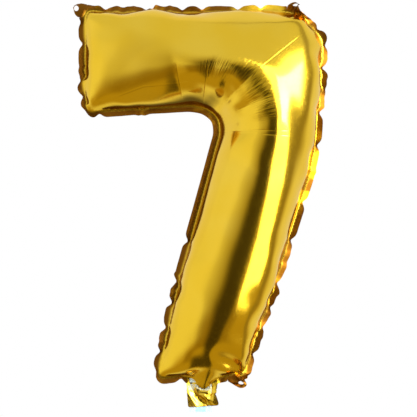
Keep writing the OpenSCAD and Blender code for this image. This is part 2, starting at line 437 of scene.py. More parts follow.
@dataclass
class FlatFoil:
    """Both panels laid flat, welded, and meshed: the cloth before the gas goes in.

    The clearances say how near other points may lie to a line of the cut.

    Attributes:
        cut: The lines of the cut.
        hole_points: Points round each punched hole.
        neck_wave: Height of the slow wave that the neck's open end is held in.
        start_puff: How far each panel stands off before the gas goes in.
        puff_reach: Distance from the seam at which it stands off so far.
        start_noise: Unevenness that lets the film choose its wrinkles.
    """

    cut: Cut
    hole_points: int = 12
    neck_clearance: float = 0.8 * MM
    seam_clearance: float = 1.5 * MM
    film_clearance: float = 1.2 * MM
    tab_clearance: float = 0.9 * MM
    rim_clearance: float = 0.8 * MM
    edge_clearance: float = 0.5 * MM
    tab_pitch: float = 0.85
    neck_wave: float = 1.6 * MM
    start_puff: float = 6 * MM
    puff_reach: float = 30 * MM
    start_noise: float = 0.12 * MM

    def __post_init__(self) -> None:
        """Mesh the cut, and double the film wherever the weld doesn't join the two panels."""
        cut = self.cut
        outer = offset(cut.plain_seam, cut.margin)
        middle = offset(cut.plain_seam, cut.margin / 2)
        sketch = Sketch()
        seam_rest = np.insert(cut.rest_seam, 1, 0.0, axis=1)
        sketch.add(cut.cut_seam, Mark.SEAM, rest=seam_rest, closed=True)
        sketch.add(lattice(cut.cut_seam, cut.pitch, cut.random), Mark.DOME)
        clear_neck = ~inside(cut.neck, middle) & (distance_to(cut.neck, middle) > self.neck_clearance)
        sketch.add(middle, Mark.WELD, keep=clear_neck)
        covered = inside(cut.neck, outer)
        for loop in cut.tab_loops.values():
            covered |= inside(loop, outer)
        sketch.add(outer, Mark.WELD, keep=~covered, closed=True)
        self._add_neck(sketch)
        self.holes = []
        for tab in cut.tabs:
            self._add_tab(sketch, tab, outer)
        self._mesh(sketch, outer)

    def _add_neck(self, sketch: Sketch) -> None:
        """Add the inflation neck: its outline, the film between, and its held lower edge."""
        cut = self.cut
        clear = ~inside(cut.cut_seam, cut.neck)
        clear &= distance_to(cut.cut_seam, cut.neck) > self.seam_clearance
        low = cut.neck[:, 1] < (cut.neck_end + 0.3) * MM
        rest = np.full((len(cut.neck), 3), math.nan)
        across = (cut.neck[low, 0] / MM - cut.neck_cut_x) / (cut.neck_width / 2)
        rest[low, 0] = (cut.neck_x + across * cut.neck_width / 2 * 0.985) * MM
        rest[low, 1] = self.neck_wave * np.sin(3.1 * across + 0.6)
        rest[low, 2] = (cut.neck_rest_end + 0.5 * across) * MM
        sketch.add(cut.neck, Mark.WELD, keep=clear & ~low)
        sketch.add(cut.neck[low], Mark.NECK_END, rest=rest[low])
        inner = lattice(cut.neck, cut.fine_pitch, cut.random)
        free = ~inside(cut.cut_seam, inner)
        free &= distance_to(cut.cut_seam, inner) > self.film_clearance
        sketch.add(inner, Mark.WELD, keep=free)

    def _add_tab(self, sketch: Sketch, tab: TabPlan, outer: np.ndarray) -> None:
        """Add one hanging tab beyond the weld: its outline, its punched hole and its film."""
        cut = self.cut
        loop = cut.tab_loops[tab.name]
        flat, rest = tab.punched(cut.hole_radius, self.hole_points)
        self.holes.append(flat)
        beyond = ~inside(outer, loop) & (distance_to(outer, loop) > self.edge_clearance)
        sketch.add(loop, Mark.WELD, keep=beyond, closed=True)
        sketch.add(flat, Mark.PUNCHED, rest=rest, closed=True)
        inner = lattice(loop, cut.fine_pitch * self.tab_pitch, cut.random)
        free = ~inside(outer, inner) & (distance_to(outer, inner) > self.tab_clearance)
        free &= ~inside(flat, inner) & (distance_to(flat, inner) > self.rim_clearance)
        sketch.add(inner, Mark.WELD, keep=free)

    def _mesh(self, sketch: Sketch, outer: np.ndarray) -> None:
        """Triangulate the sketch, drop what is outside the cut, and double the dome.

        Args:
            sketch: All points and edges of the cut.
            outer: The cut edge of the weld, without tabs and neck.
        """
        cut = self.cut
        found = delaunay_2d_cdt([Vector(p) for p in sketch.points], sketch.edges, [], 0, 1e-7)
        flat = np.array([tuple(v) for v in found[0]])
        origin = [o[0] if o else -1 for o in found[3]]
        marks = np.array([sketch.marks[i] if i >= 0 else int(Mark.WELD) for i in origin])
        rest = np.array([sketch.rest[i] if i >= 0 else (math.nan,) * 3 for i in origin])
        faces = np.array([tuple(face) for face in found[2] if len(face) == 3])
        corner = flat[faces]
        sides = corner[:, 1] - corner[:, 0], corner[:, 2] - corner[:, 0]
        signed = sides[0][:, 0] * sides[1][:, 1] - sides[0][:, 1] * sides[1][:, 0]
        faces[signed < 0] = faces[signed < 0][:, ::-1]
        faces = faces[np.abs(signed) > 1e-9]
        middle = flat[faces].mean(1)
        dome = inside(cut.cut_seam, middle)
        kept = dome | inside(outer, middle) | inside(cut.neck, middle)
        for loop in cut.tab_loops.values():
            kept |= inside(loop, middle)
        for hole in self.holes:
            kept &= ~inside(hole, middle)
        self.weld_faces = faces[kept & ~dome]
        self.front_faces = faces[kept & dome]
        single = len(flat)
        doubled = np.flatnonzero(marks == Mark.DOME)
        twin = np.arange(single)
        twin[doubled] = single + np.arange(len(doubled))
        self.rear_faces = twin[self.front_faces][:, ::-1]
        self.flat = np.vstack([flat, flat[doubled]])
        self.marks = np.concatenate([marks, marks[doubled]])
        self.rest = np.vstack([rest, rest[doubled]])
        depth = distance_to(cut.cut_seam, self.flat) * (self.marks == Mark.DOME)
        puff = self.start_puff * np.sqrt(np.clip(depth / self.puff_reach, 0, 1))
        puff[:single] *= -1
        puff += cut.random.normal(0, self.start_noise, len(puff))
        self.start = np.stack([self.flat[:, 0], puff, self.flat[:, 1]], 1)


@dataclass
class Ironing:
    """Takes the small dents out of the inflated film and presses the inner corner's pleats in.

    Attributes:
        passes: Smoothing passes over the dome, each a shrinking and a growing step.
        shrink: Share of the way to the neighbours' mean in the first step.
        grow: The same, backwards, in the second.
        edge: Film this close to the seam keeps some of its puckers.
        edge_share: How much of the smoothing reaches the seam itself.
        creases: Directions of the pleats' creases, in degrees about the bend's centre.
        lobe: How far the film stands up between two creases.
        outer_share: The same in the first and the last pleat, as a share.
        pleats_from: Distance from the bend's centre where the pleats start, and pleats_to where they end.
        pleats_rise: Length over which they rise, and pleats_fall over which they fade.
    """

    passes: int = 70
    shrink: float = 0.55
    grow: float = 0.565
    edge: float = 14 * MM
    edge_share: float = 0.65
    creases: tuple[float, ...] = (-34.0, 0.0, 25.0, 43.5, 72.0, 106.0, 150.0)
    lobe: float = 1.7 * MM
    outer_share: float = 0.45
    pleats_from: float = 25 * MM
    pleats_rise: float = 9 * MM
    pleats_to: float = 80 * MM
    pleats_fall: float = 24 * MM
    bend_x: float = 102.2 * MM
    bend_z: float = -108.1 * MM

    def press(self, foil: "FlatFoil", points: np.ndarray) -> np.ndarray:
        """Smooth the dome and add the pleats.

        Args:
            foil: The film's mesh.
            points: Its points once inflated.

        Returns:
            The pressed points.
        """
        faces = np.vstack([foil.front_faces, foil.rear_faces])
        pairs = np.vstack([faces[:, [0, 1]], faces[:, [1, 2]], faces[:, [2, 0]]])
        pairs = np.unique(np.sort(pairs, 1), axis=0)
        ends = np.concatenate([pairs[:, 0], pairs[:, 1]])
        others = np.concatenate([pairs[:, 1], pairs[:, 0]])
        count = np.maximum(np.bincount(ends, minlength=len(points)), 1)
        depth = distance_to(foil.cut.cut_seam, foil.flat)
        share = self.edge_share + (1 - self.edge_share) * np.clip(depth / self.edge, 0, 1) ** 1.5
        share *= foil.marks == Mark.DOME
        points = points.copy()
        for step in [self.shrink, -self.grow] * self.passes:
            mean = np.stack([np.bincount(ends, points[others, axis], len(points)) for axis in range(3)], 1)
            points += (step * share)[:, None] * (mean / count[:, None] - points)
        return self._pleated(points, foil.marks == Mark.DOME)

    def _pleated(self, points: np.ndarray, dome: np.ndarray) -> np.ndarray:
        """Press the fan of pleats into both panels round the inner corner.

        Args:
            points: The film's points.
            dome: Which of them belong to the dome.

        Returns:
            The pleated points.
        """
        x, z = points[:, 0] - self.bend_x, points[:, 2] - self.bend_z
        reach, turn = np.hypot(x, z), np.degrees(np.arctan2(z, x))
        step = np.clip(np.searchsorted(self.creases, turn) - 1, 0, len(self.creases) - 2)
        low, high = np.array(self.creases)[step], np.array(self.creases)[step + 1]
        within = np.clip((turn - low) / (high - low), 0, 1)
        lobe = 4 * within * (1 - within) * ((turn > self.creases[0]) & (turn < self.creases[-1]))
        outermost = (step == 0) | (step == len(self.creases) - 2)
        lobe = np.where(outermost, self.outer_share * lobe, lobe)
        rise = np.clip((reach - self.pleats_from) / self.pleats_rise, 0, 1)
        fade = np.clip((self.pleats_to - reach) / self.pleats_fall, 0, 1)
        points[:, 1] += np.sign(points[:, 1]) * dome * self.lobe * lobe * rise * fade
        return points


@dataclass
class Scallops:
    """Lays the weld out in the lobes that form as the seam draws in, pinched between them.

    Attributes:
        pinches: Places on the inflated seam, (x, z) in millimetres, where the weld is creased.
        pinch_width: Half the width of a pinch along the seam.
        pinch_depth: Share of the weld's width that a pinch takes away.
        tilt: How far the lobes lean to the front, in degrees.
        back_share: How much less every other lobe leans, to the back.
        reach: Share of its flat width that the weld keeps.
        seam_sway: Share of the seam's own sway that the weld follows.
        free_run: Distance from a tab or the neck at which the weld is free to scallop.
    """

    pinches: tuple[tuple[float, float], ...] = (
        (15, -5), (27, -5), (62, -5), (66, -5), (92, -5), (110, -5), (138, -5), (159, -5), (181, -5),
        (199, -11), (207, -21), (213, -34), (212, -52), (210, -70), (208, -92), (204, -118),
        (192, -166), (181, -200), (170, -236), (163, -258), (157, -276), (150, -297),
        (90, -318), (72, -312), (76, -297), (82, -277), (87, -256), (92, -238), (101, -204),
        (22, -89), (9, -88), (9, -77), (9, -64), (9, -31), (9, -13),
    )
    pinch_width: float = 2.6 * MM
    pinch_depth: float = 0.72
    tilt: float = 20.0
    back_share: float = 0.6
    reach: float = 0.98
    seam_sway: float = 0.35
    free_run: float = 5 * MM

    def lay(self, foil: "FlatFoil", points: np.ndarray) -> np.ndarray:
        """Move the weld's points into lobes, away from the tabs and the neck.

        Args:
            foil: The film's mesh.
            points: Its points once inflated.

        Returns:
            The points with the weld laid out.
        """
        cut = foil.cut
        weld = np.flatnonzero(foil.marks == Mark.WELD)
        flat = foil.flat[weld]
        away = ((flat[:, None] - cut.cut_seam[None]) ** 2).sum(2)
        nearest = away.argmin(1)
        out = np.sqrt(away[np.arange(len(weld)), nearest])
        seam = cut.rest_seam
        outward = offset(seam, 1.0) - seam
        run = np.concatenate([[0], np.cumsum(np.linalg.norm(np.diff(seam, axis=0), axis=1))])
        spots = np.array(self.pinches) * MM
        marks = np.sort([run[((seam - spot) ** 2).sum(1).argmin()] for spot in spots])
        place = run[nearest]
        lobe = np.searchsorted(marks, place)
        gap = np.abs(place[:, None] - marks[None]).min(1)
        pinch = np.exp(-((gap / self.pinch_width) ** 2))
        reach = out * (1.0 - self.pinch_depth * pinch) * self.reach
        lean = np.radians(self.tilt) * np.where(lobe % 2 == 0, 1.0, -self.back_share) * (1 - pinch)
        base = self._seam_points(foil, points)[nearest]
        laid = np.stack([
            base[:, 0] + outward[nearest, 0] * reach * np.cos(lean),
            self.seam_sway * base[:, 1] + reach * np.sin(lean),
            base[:, 2] + outward[nearest, 1] * reach * np.cos(lean)], 1)
        clear = distance_to(cut.neck, flat) * ~inside(cut.neck, flat)
        for loop in cut.tab_loops.values():
            clear = np.minimum(clear, distance_to(loop, flat) * ~inside(loop, flat))
        share = np.clip(clear / self.free_run, 0, 1)[:, None]
        points = points.copy()
        points[weld] += share * (laid - points[weld])
        return points

    def _seam_points(self, foil: "FlatFoil", points: np.ndarray) -> np.ndarray:
        """Return the inflated place of each point of the cut's seam loop."""
        seam = np.flatnonzero(foil.marks == Mark.SEAM)
        away = ((foil.cut.cut_seam[:, None] - foil.flat[seam][None]) ** 2).sum(2)
        return points[seam[away.argmin(1)]]


@dataclass
class Gas:
    """Blows the welded foil up with cloth simulation.

    The work is done at ten times the size, where the solver is steady, and the seam is led from
    its place in the flat cut to where the drawn-in film holds it.

    Attributes:
        foil: The flat, welded film.
        enlarge: The work's scale.
        frames: Length of the run, and lead the frame at which the seam has drawn in.
        pressure: Force of the gas on the film.
        stiffness: Resistance to stretching, and weld_bending to bending where it is welded.
        seam_hold: How firmly the seam is led, and neck_hold and rim_hold the same for the
            neck's open end and the holes' rims.
    """

    foil: FlatFoil
    enlarge: float = 10.0
    frames: int = 34
    lead: int = 14
    pressure: float = 8.0
    stiffness: float = 120.0
    weld_bending: float = 1.5
    seam_hold: float = 0.9
    neck_hold: float = 0.9
    rim_hold: float = 0.95

    def blow_up(self) -> np.ndarray:
        """Run the simulation.

        Returns:
            Every point of the film once inflated, (x, y, z) in metres.
        """
        foil = self.foil
        start = foil.start * self.enlarge
        goal = start.copy()
        held = ~np.isnan(foil.rest[:, 0])
        goal[held] = foil.rest[held] * self.enlarge
        faces = np.vstack([foil.weld_faces, foil.front_faces, foil.rear_faces])
        mesh = bpy.data.meshes.new("cloth")
        mesh.from_pydata([tuple(p) for p in start], [], [tuple(map(int, f)) for f in faces])
        cloth = bpy.data.objects.new("cloth", mesh)
        bpy.context.scene.collection.objects.link(cloth)
        cloth.shape_key_add(name="Basis")
        drawn = cloth.shape_key_add(name="drawn in")
        drawn.data.foreach_set("co", goal.ravel())
        for value, moment in ((0.0, 1), (1.0, self.lead)):
            drawn.value = value
            drawn.keyframe_insert("value", frame=moment)
        self._settings(cloth)
        for moment in range(1, self.frames + 1):
            bpy.context.scene.frame_set(moment)
        blown = cloth.evaluated_get(bpy.context.evaluated_depsgraph_get()).to_mesh()
        points = np.empty(len(start) * 3)
        blown.vertices.foreach_get("co", points)
        points = points.reshape(-1, 3) / self.enlarge
        bpy.data.objects.remove(cloth)
        bpy.context.scene.frame_set(1)
        return points

    def _settings(self, cloth: bpy.types.Object) -> None:
        """Give the film its stiffness, its pressure and the places where it is held."""
        marks = self.foil.marks
        groups = {
            "sealed": [(np.flatnonzero((marks == Mark.SEAM) | (marks == Mark.DOME)), 1.0)],
            "stiff": [(np.flatnonzero(marks != Mark.DOME), 1.0)],
            "held": [(np.flatnonzero(marks == Mark.SEAM), self.seam_hold),
                     (np.flatnonzero(marks == Mark.NECK_END), self.neck_hold),
                     (np.flatnonzero(marks == Mark.PUNCHED), self.rim_hold)],
        }
        for name, members in groups.items():
            group = cloth.vertex_groups.new(name=name)
            for index, weight in members:
                group.add([int(i) for i in index], weight, "REPLACE")
        modifier = cloth.modifiers.new("Cloth", "CLOTH")
        settings = modifier.settings
        wanted = {
            "quality": 6, "mass": 0.02, "tension_stiffness": self.stiffness,
            "compression_stiffness": self.stiffness, "shear_stiffness": self.stiffness,
            "bending_stiffness": 0.05, "bending_stiffness_max": self.weld_bending,
            "bending_model": "ANGULAR", "bending_damping": 0.5, "air_damping": 1.0,
            "use_pressure": True, "uniform_pressure_force": self.pressure,
            "vertex_group_pressure": "sealed", "vertex_group_bending": "stiff",
            "vertex_group_mass": "held", "pin_stiffness": 1.0,
        }
        for name, setting in wanted.items():
            setattr(settings, name, setting)
        settings.effector_weights.gravity = 0.0
        modifier.collision_settings.use_collision = False
        modifier.point_cache.frame_start = 1
        modifier.point_cache.frame_end = 250


# ---------------------------------------------------------------------------------------------
# Finishes
# ---------------------------------------------------------------------------------------------


class Value:
    """A number on its way through a material: Python arithmetic adds Math nodes."""

    def __init__(self, graph: "Graph", socket: bpy.types.NodeSocket) -> None:
        """Keep the node graph and the socket that carries the number."""
        self.graph = graph
        self.socket = socket

    def _math(self, operation: str, *terms: "Value | float") -> "Value":
        """Add a Math node.

        Args:
            operation: Blender's name for it.
            terms: Its inputs in order.

        Returns:
            The result, ready for more arithmetic.
        """
        node = self.graph.node("ShaderNodeMath", {"operation": operation}, dict(enumerate(terms)))
        return Value(self.graph, node.outputs[0])

    def __add__(self, other: "Value | float") -> "Value":
        """Return self + other."""
        return self._math("ADD", self, other)

    def __radd__(self, other: float) -> "Value":
        """Return other + self."""
        return self._math("ADD", other, self)

    def __sub__(self, other: "Value | float") -> "Value":
        """Return self - other."""
        return self._math("SUBTRACT", self, other)

    def __rsub__(self, other: float) -> "Value":
        """Return other - self."""
        return self._math("SUBTRACT", other, self)

    def __mul__(self, other: "Value | float") -> "Value":
        """Return self * other."""
        return self._math("MULTIPLY", self, other)

    def __rmul__(self, other: float) -> "Value":
        """Return other * self."""
        return self._math("MULTIPLY", other, self)

    def __truediv__(self, other: "Value | float") -> "Value":
        """Return self / other."""
        return self._math("DIVIDE", self, other)

    def __pow__(self, other: "Value | float") -> "Value":
        """Return self ** other."""
        return self._math("POWER", self, other)

    def sine(self) -> "Value":
        """Return the sine of self, in radians."""
        return self._math("SINE", self)

    def angle_to(self, other: "Value") -> "Value":
        """Return atan2(self, other)."""
        return self._math("ARCTAN2", self, other)

    def smooth(self, low: float, high: float) -> "Value":
        """Return 0 below low, 1 above high and a smooth rise between; low may be above high."""
        node = self.graph.node(
            "ShaderNodeMapRange", {"interpolation_type": "SMOOTHSTEP"},
            {"Value": self, "From Min": low, "From Max": high, "To Min": 0.0, "To Max": 1.0})
        return Value(self.graph, node.outputs["Result"])


class Graph:
    """The node graph of one material or of the world."""

    def __init__(self, owner: bpy.types.Material | bpy.types.World) -> None:
        """Start an empty graph on a material or a world."""
        owner.use_nodes = True
        self.tree = owner.node_tree
        self.tree.nodes.clear()

    def node(self, kind: str, settings: dict | None = None, inputs: dict | None = None) -> bpy.types.Node:
        """Add a node.

        Args:
            kind: Blender's name for the node type.
            settings: Its properties, set before its sockets.
            inputs: Values, colours, sockets or Values for its sockets, by name or number.

        Returns:
            The new node.
        """
        node = self.tree.nodes.new(kind)
        for name, setting in (settings or {}).items():
            setattr(node, name, setting)
        for name, source in (inputs or {}).items():
            socket = node.inputs[name]
            if isinstance(source, Value):
                source = source.socket
            if isinstance(source, bpy.types.NodeSocket):
                self.tree.links.new(source, socket)
            elif socket.type == "RGBA" and len(source) == 3:
                socket.default_value = (*source, 1.0)
            else:
                socket.default_value = source
        return node

    def value(self, node: bpy.types.Node, output: str | int = 0) -> Value:
        """Return a node's output as a number for arithmetic."""
        return Value(self, node.outputs[output])

    def place(self) -> tuple[Value, Value, Value, bpy.types.NodeSocket]:
        """Return the object's own x, y and z, and the whole vector."""
        spot = self.node("ShaderNodeTexCoord").outputs["Object"]
        parts = self.node("ShaderNodeSeparateXYZ", inputs={"Vector": spot})
        return (*(Value(self, parts.outputs[axis]) for axis in "XYZ"), spot)

    def noise(self, vector: bpy.types.NodeSocket, scale: float, detail: float = 2.0) -> Value:
        """Return fractal noise from 0 to 1 at a scale in cycles a metre."""
        node = self.node("ShaderNodeTexNoise", inputs={"Vector": vector, "Scale": scale, "Detail": detail})
        return self.value(node)

    def mix(self, share: Value | float, first: object, second: object) -> bpy.types.NodeSocket:
        """Blend two colours.

        Args:
            share: How much of the second, from 0 to 1.
            first: A colour or a colour socket.
            second: A colour or a colour socket.

        Returns:
            The blended colour's socket.
        """
        node = self.node("ShaderNodeMix", {"data_type": "RGBA", "clamp_factor": True},
                         {0: share, 6: first, 7: second})
        return node.outputs[2]

    def surface(self, inputs: dict) -> None:
        """End the graph in a Principled shader with the given sockets."""
        shader = self.node("ShaderNodeBsdfPrincipled", inputs=inputs)
        output = self.node("ShaderNodeOutputMaterial")
        self.tree.links.new(shader.outputs[0], output.inputs[0])


@dataclass(frozen=True)
class GoldFoil:
    """Metallised film lacquered gold, darker and redder where two layers are welded.

    Attributes:
        name: The material's name.
        gold: The film's colour, which drifts to pale_gold in slow patches.
        brown: Colour of the weld, with amber painted over it in small patches as a painted highlight.
        roughness: Of the film, to which grain_rough and weld_rough add.
        across_leg: Direction across the leg, (x, z).
        glint_leg_edge: Distances that way between which the outer weld takes the amber painted highlight.
        flap_height: Heights between which the top flap begins, where the weld gets a gold painted highlight.
        flap_from: Where along the top it fades in, and flap_to where it fades out.
        bend_x: The inner corner's centre, with bend_z.
        hair_from: Distances from there between which the hair creases begin, and hair_to end.
        fold_depth: Depth of a pressed fold, and fold_width half its width.
        folds: Ends of the pressed folds, (x, z, x, z) in millimetres.
    """

    name: str = "gold_foil"
    gold: Colour = (0.85, 0.56, 0.034)
    pale_gold: Colour = (0.86, 0.59, 0.055)
    brown: Colour = (0.20, 0.078, 0.006)
    amber_glint: Colour = (0.86, 0.46, 0.012)
    roughness: float = 0.135
    grain_rough: float = 0.05
    weld_rough: float = 0.28
    across_leg: Place = (0.96, 0.28)
    glint_leg_edge: Place = (0.128, 0.150)
    flap_height: Place = (-0.0065, -0.004)
    flap_from: Place = (0.132, 0.140)
    flap_to: Place = (0.184, 0.177)
    bend_x: float = 0.1022
    bend_z: float = -0.1081
    hair_from: Place = (0.046, 0.057)
    hair_to: Place = (0.083, 0.070)
    fold_depth: float = 0.16
    fold_width: float = 0.9 * MM
    folds: tuple[tuple[float, float, float, float], ...] = (
        (88.0, -52.0, 93.0, -80.0),
        (114.5, -53.0, 111.0, -83.0),
        (125.0, -86.2, 153.0, -60.0),
        (127.0, -95.0, 168.0, -80.0),
        (129.0, -107.8, 181.0, -107.8),
        (160.0, -111.0, 182.0, -112.0),
        (196.5, -24.0, 161.0, -54.0),
        (22.0, -83.0, 60.0, -70.0),
        (60.0, -70.0, 99.0, -67.0),
        (148.0, -287.0, 155.0, -286.0),
    )

    def material(self) -> bpy.types.Material:
        """Build the finish.

        Returns:
            The material, which reads the point attribute "weld".
        """
        material = bpy.data.materials.new(self.name)
        graph = Graph(material)
        x, _, z, spot = graph.place()
        welded = graph.node("ShaderNodeAttribute", {"attribute_name": "weld"})
        weld = graph.value(welded, "Fac")
        cloudy = graph.noise(spot, 22.0)
        grain = graph.noise(spot, 420.0, 4.0)
        film = graph.mix(cloudy.smooth(0.35, 0.75), self.gold, self.pale_gold)
        # Painted highlights on the weld: amber patches where it catches the bright light, strong along the
        # leg's outer edge and faint elsewhere.
        glint_patches = graph.noise(spot, 75.0)
        across = x * self.across_leg[0] + z * self.across_leg[1]
        glinting_leg = across.smooth(*self.glint_leg_edge) * z.smooth(-0.100, -0.125)
        painted_glints = glinting_leg * glint_patches.smooth(0.40, 0.58) + (1.0 - glinting_leg) * 0.22 * glint_patches.smooth(0.55, 0.7)
        # Painted highlight: the crumpled flap along the top of the weld is painted film gold in patches,
        # where it catches the light from above.
        flap = z.smooth(*self.flap_height) * x.smooth(*self.flap_from) * x.smooth(*self.flap_to)
        weld_colour_and_glints = graph.mix(painted_glints, self.brown, self.amber_glint)
        weld_colour_and_glints = graph.mix(flap * glint_patches.smooth(0.25, 0.5), weld_colour_and_glints, self.gold)
        colour = graph.mix(weld.smooth(0.35, 0.95), film, weld_colour_and_glints)
        rough = self.roughness + self.grain_rough * grain.smooth(0.4, 0.8) + self.weld_rough * weld
        height = self._creases(graph, x, z) + 0.010 * grain + 0.06 * weld * graph.noise(spot, 300.0)
        bump = graph.node("ShaderNodeBump", inputs={"Strength": 0.28, "Distance": 0.002, "Height": height})
        graph.surface({"Base Color": colour, "Metallic": 1.0, "Roughness": rough,
                       "Normal": bump.outputs["Normal"]})
        return material

    def _creases(self, graph: Graph, x: Value, z: Value) -> Value:
        """Return the height of the hair-like creases that fan out from the inner corner.

        Args:
            graph: The material's graph.
            x: The object's own x.
            z: The object's own z.

        Returns:
            Height from 0 to 1, nothing away from the corner.
        """
        across, up = x - self.bend_x, z - self.bend_z
        turn = up.angle_to(across)
        reach = (across * across + up * up) ** 0.5
        polar = graph.node("ShaderNodeCombineXYZ", inputs={"X": turn * 42.0, "Y": reach * 70.0})
        hair = graph.node("ShaderNodeTexNoise", inputs={
            "Vector": polar.outputs[0], "Scale": 1.0, "Detail": 3.0, "Distortion": 0.6})
        folded = graph.value(hair)
        near = reach.smooth(*self.hair_from) * reach.smooth(*self.hair_to)
        sector = turn.smooth(0.05, 0.35) * turn.smooth(1.55, 1.30)
        height = folded * near * sector * 0.6
        for x0, z0, x1, z1 in self.folds:
            line = self._fold(x, z, (x0 * MM, z0 * MM), (x1 * MM, z1 * MM))
            height = height - self.fold_depth * line
        return height

    def _fold(self, x: Value, z: Value, start: Place, end: Place) -> Value:
        """Mark one pressed fold line.

        Args:
            x: The object's own x.
            z: The object's own z.
            start: One end of the line, (x, z).
            end: Its other end.

        Returns:
            1 on the line, falling to 0 a millimetre away and at its ends.
        """
        run = np.array(end) - np.array(start)
        length = float(np.linalg.norm(run))
        ux, uz = (float(part) for part in run / length)
        along = (x - start[0]) * ux + (z - start[1]) * uz
        aside = (x - start[0]) * uz - (z - start[1]) * ux
        near = (aside * aside).smooth(self.fold_width ** 2, 0.0)
        return near * along.smooth(-2 * MM, 3 * MM) * along.smooth(length + 2 * MM, length - 3 * MM)


@dataclass(frozen=True)
class ClearFilm:
    """Soft clear film of the valve, faintly blue and scuffed."""

    name: str = "valve_film"
    tint: Colour = (0.62, 0.84, 0.90)
    scuffed: Colour = (0.80, 0.93, 0.96)
    alpha: float = 0.22
    roughness: float = 0.22

    def material(self) -> bpy.types.Material:
        """Build the finish and return the material."""
        material = bpy.data.materials.new(self.name)
        graph = Graph(material)
        spot = graph.place()[3]
        scuff = graph.noise(spot, 700.0, 3.0)
        colour = graph.mix(scuff.smooth(0.3, 0.8), self.tint, self.scuffed)
        bump = graph.node("ShaderNodeBump", inputs={"Strength": 0.2, "Distance": 0.0005, "Height": scuff})
        graph.surface({"Base Color": colour, "Roughness": self.roughness + 0.2 * scuff,
                       "Alpha": self.alpha, "Normal": bump.outputs["Normal"]})
        return material


@dataclass(frozen=True)
class PrintedLane:
    """Pale blue release print, laid on as fine lines."""

    name: str = "release_print"
    ink: Colour = (0.16, 0.55, 0.68)
    thin_ink: Colour = (0.42, 0.78, 0.86)
    line_turn: float = 5200.0

    def material(self) -> bpy.types.Material:
        """Build the finish and return the material."""
        material = bpy.data.materials.new(self.name)
        graph = Graph(material)
        _, _, z, spot = graph.place()
        lines = (z * self.line_turn).sine() * 0.5 + 0.5
        blotch = graph.noise(spot, 900.0, 3.0)
        colour = graph.mix(lines * 0.4 + blotch * 0.6, self.ink, self.thin_ink)
        bump = graph.node("ShaderNodeBump", inputs={"Strength": 0.15, "Distance": 0.0003, "Height": lines})
        graph.surface({"Base Color": colour, "Roughness": 0.35 + 0.2 * blotch,
                       "Normal": bump.outputs["Normal"]})
        return material


@dataclass(frozen=True)
class PaleFloor:
    """Matt off-white studio floor."""

    name: str = "pale_floor"
    paint: Colour = (0.66, 0.65, 0.62)
    worn_paint: Colour = (0.70, 0.69, 0.66)

    def material(self) -> bpy.types.Material:
        """Build the finish and return the material."""
        material = bpy.data.materials.new(self.name)
        graph = Graph(material)
        cloudy = graph.noise(graph.place()[3], 3.0)
        colour = graph.mix(cloudy, self.paint, self.worn_paint)
        graph.surface({"Base Color": colour, "Roughness": 0.75 + 0.1 * cloudy})
        return material


# ---------------------------------------------------------------------------------------------
# Pieces
# ---------------------------------------------------------------------------------------------


def choose(piece: bpy.types.Object) -> None:
    """Select one piece alone and make it the active one."""
    bpy.ops.object.select_all(action="DESELECT")
    piece.select_set(True)
    bpy.context.view_layer.objects.active = piece


def apply_modifier(piece: bpy.types.Object, kind: str, **settings: object) -> None:
    """Add a modifier to a piece, set it and apply it.

    Args:
        piece: The piece.
        kind: Blender's name for the modifier type.
        settings: The modifier's properties.
    """
    modifier = piece.modifiers.new(kind, kind)
    for name, setting in settings.items():
        setattr(modifier, name, setting)
    choose(piece)
    bpy.ops.object.modifier_apply(modifier=modifier.name)


def film_object(name: str, points: np.ndarray, faces: np.ndarray,
                material: bpy.types.Material) -> bpy.types.Object:
    """Make a mesh object and link it to the scene.

    Args:
        name: The piece's name.
        points: Its points, (x, y, z).
        faces: Its faces, as rows of point numbers.
        material: Its finish.

    Returns:
        The new object.
    """
    mesh = bpy.data.meshes.new(name)
    mesh.from_pydata([tuple(p) for p in points], [], [tuple(map(int, face)) for face in faces])
    mesh.materials.append(material)
    piece = bpy.data.objects.new(name, mesh)
    bpy.context.scene.collection.objects.link(piece)
    return piece


def finish_film(piece: bpy.types.Object, thickness: float, side: float, sharpest: float) -> None:
    """Give a piece of film its thickness and smooth it.

    Args:
        piece: The piece.
        thickness: How thick.
        side: 1 to thicken it outwards, 0 both ways.
        sharpest: Edges turned by fewer degrees than this are smoothed.
    """
    apply_modifier(piece, "SOLIDIFY", thickness=thickness, offset=side)
    choose(piece)
    bpy.ops.object.shade_smooth_by_angle(angle=math.radians(sharpest))


def bend_at_tail_fold(piece: bpy.types.Object) -> None:
    """Bake the placement of a piece in the neck into its points.

    Args:
        piece: The finished piece.
    """
    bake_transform(piece)


